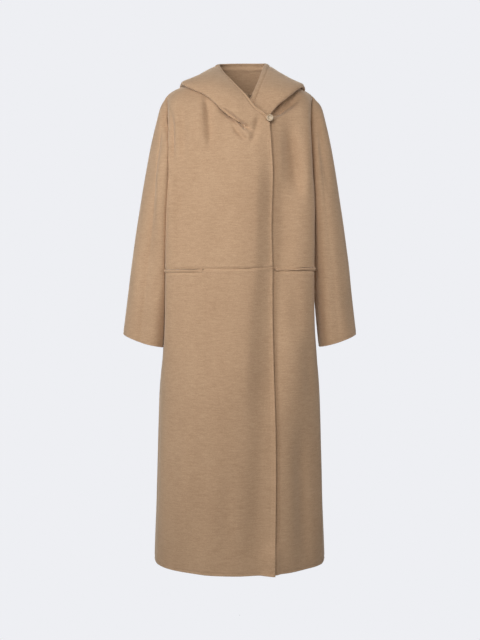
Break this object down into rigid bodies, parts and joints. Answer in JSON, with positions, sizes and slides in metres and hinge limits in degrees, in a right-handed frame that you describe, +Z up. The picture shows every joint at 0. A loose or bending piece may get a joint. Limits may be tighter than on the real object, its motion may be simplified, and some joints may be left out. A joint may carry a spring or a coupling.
{
  "type": "hooded coat",
  "caption": "Long hooded wool coat with a wrapped one-button front, waist seam and in-seam pockets, in its worn form with the hood down.",
  "frame": {"origin": "on the shoulder line, midway between the two neck points, where a wearer's shoulders carry the coat", "axes": "+Z up towards the hood, +X towards the wearer's left, -Y the front"},
  "size_m": [0.632, 0.3361, 1.3517],
  "materials": {
    "wool": "brushed double-faced camel wool, matt with a soft nap",
    "horn": "pale polished horn",
    "thread": "wound sewing thread"
  },
  "bodies": {
    "root": {"right_front_bodice": "wool", "left_front_bodice": "wool", "right_front_skirt": "wool", "left_front_skirt": "wool", "right_pocket_welt": "wool", "left_pocket_welt": "wool", "back_bodice": "wool", "back_skirt": "wool", "right_sleeve": "wool", "left_sleeve": "wool", "hood_right": "wool", "hood_left": "wool", "button": "horn", "button_shank": "thread"}
  },
  "joints": []
}
